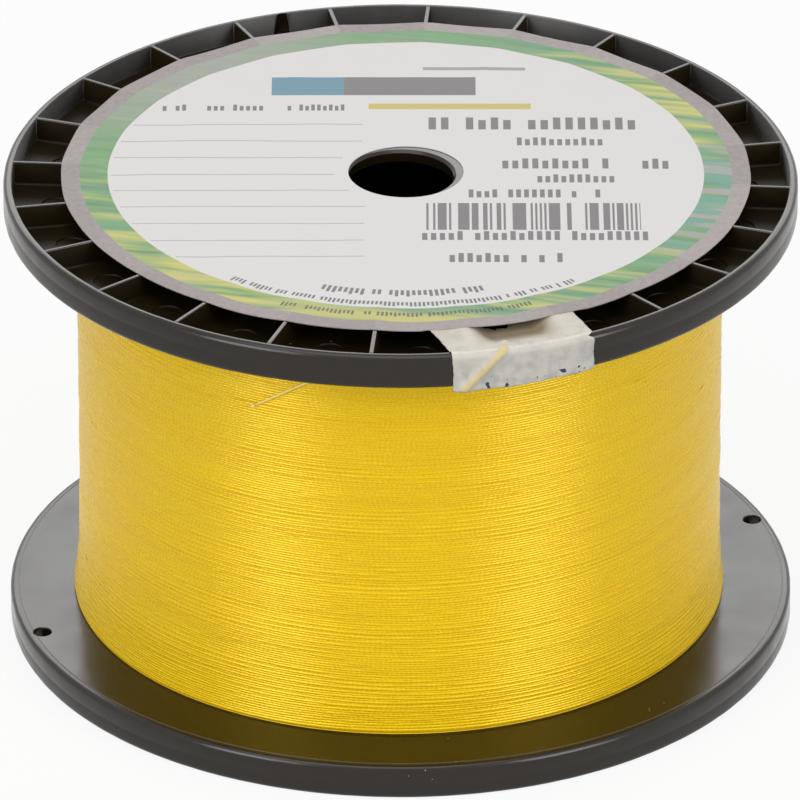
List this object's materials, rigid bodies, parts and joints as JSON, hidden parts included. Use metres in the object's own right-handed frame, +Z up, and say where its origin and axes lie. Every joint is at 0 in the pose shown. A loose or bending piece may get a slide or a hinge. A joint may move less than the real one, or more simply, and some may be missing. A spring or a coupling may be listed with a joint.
{
  "type": "fishing line spool",
  "caption": "Bulk spool of braided fishing line: a yellow wound drum between ribbed black flanges, bored for an arbor, with the line's end taped over the rim and a round label on top.",
  "frame": {"origin": "on the bore's axis, at the face of the lower flange that the spool stands on", "axes": "+Z up the bore's axis towards the labelled flange; -Y towards the side where the line's end is taped over the rim"},
  "size_m": [0.1142, 0.1143, 0.0715],
  "materials": {
    "black_plastic": "moulded, satin gloss",
    "yellow_line": "braided, slightly glossy fibre",
    "masking_tape": "creped paper",
    "label_paper": "printed, matt"
  },
  "bodies": {
    "root": {"bottom_flange": "black_plastic", "top_flange": "black_plastic", "core_barrel": "black_plastic", "start_tape": "masking_tape", "line_inner_layers": "yellow_line", "line_outer_layer": "yellow_line", "line_tail": "yellow_line", "end_tape": "masking_tape", "top_label": "label_paper"}
  },
  "joints": []
}
